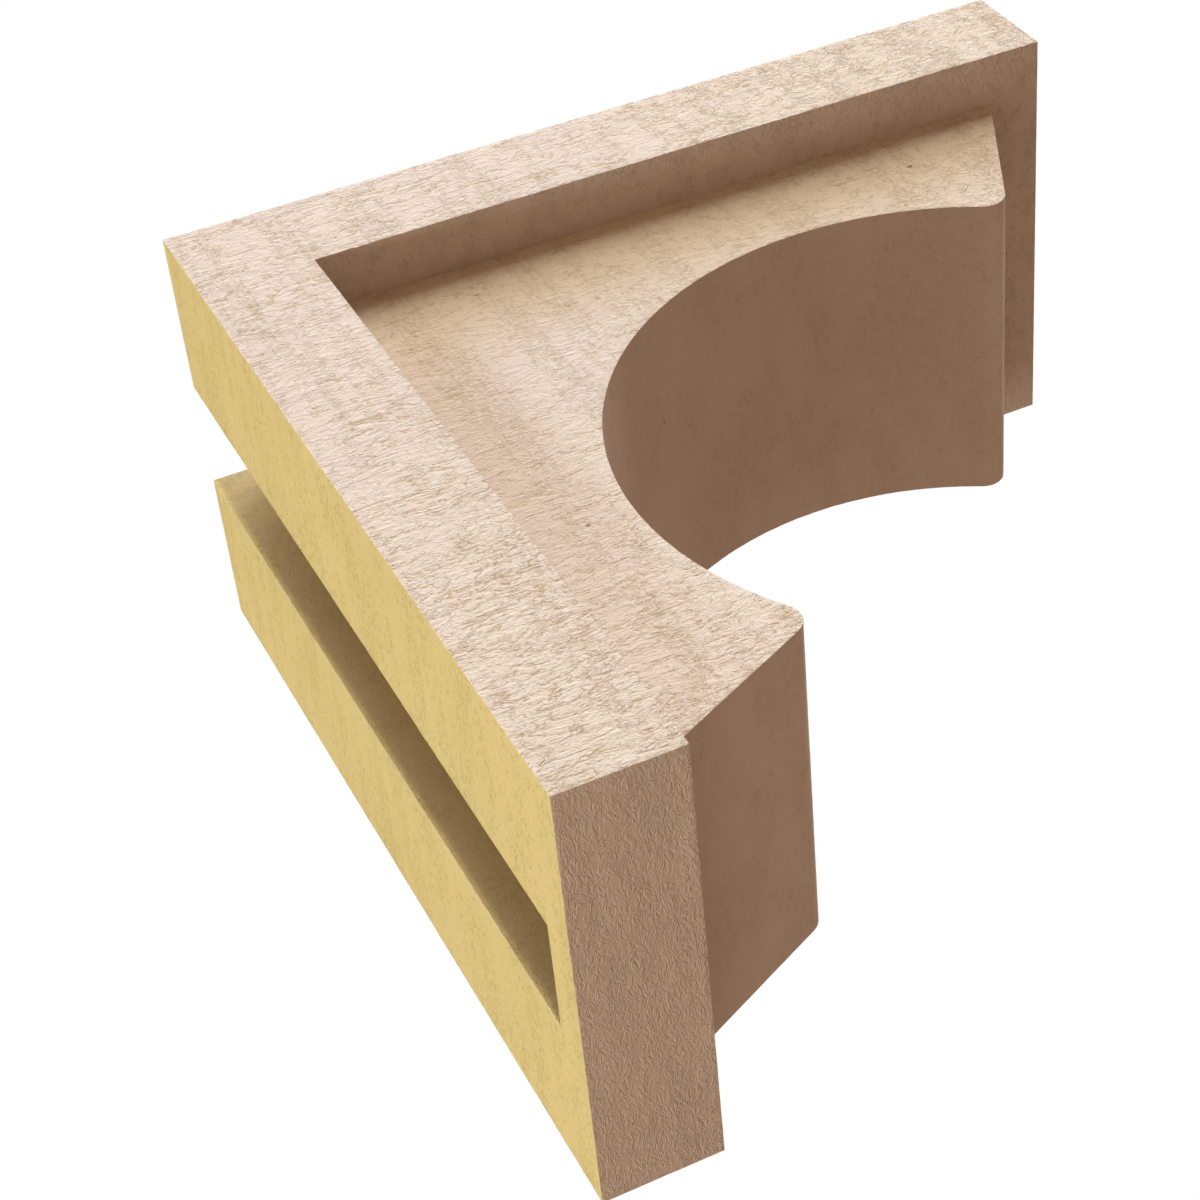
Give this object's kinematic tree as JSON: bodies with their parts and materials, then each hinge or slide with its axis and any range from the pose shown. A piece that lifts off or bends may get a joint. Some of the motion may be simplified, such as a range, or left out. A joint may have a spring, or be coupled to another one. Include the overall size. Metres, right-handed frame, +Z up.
{
  "type": "corbel",
  "caption": "Timber-look corbel: two equal legs at a right angle with a scooped brace between them, and a slot down the back for a wall cleat.",
  "frame": {"origin": "on the back face, in the middle of the solid strip between the slot's closed end and the lower end of the wall leg", "axes": "as installed: +Z up, +Y out of the back into the wall, so the corbel reaches towards -Y, and X across its width"},
  "size_m": [0.1524, 0.3048, 0.3048],
  "materials": {
    "corbel": "rigid foam moulded and coloured as rough-sawn timber, matte; bare yellow foam on the back"
  },
  "bodies": {
    "root": {"corbel": "corbel"}
  },
  "joints": []
}
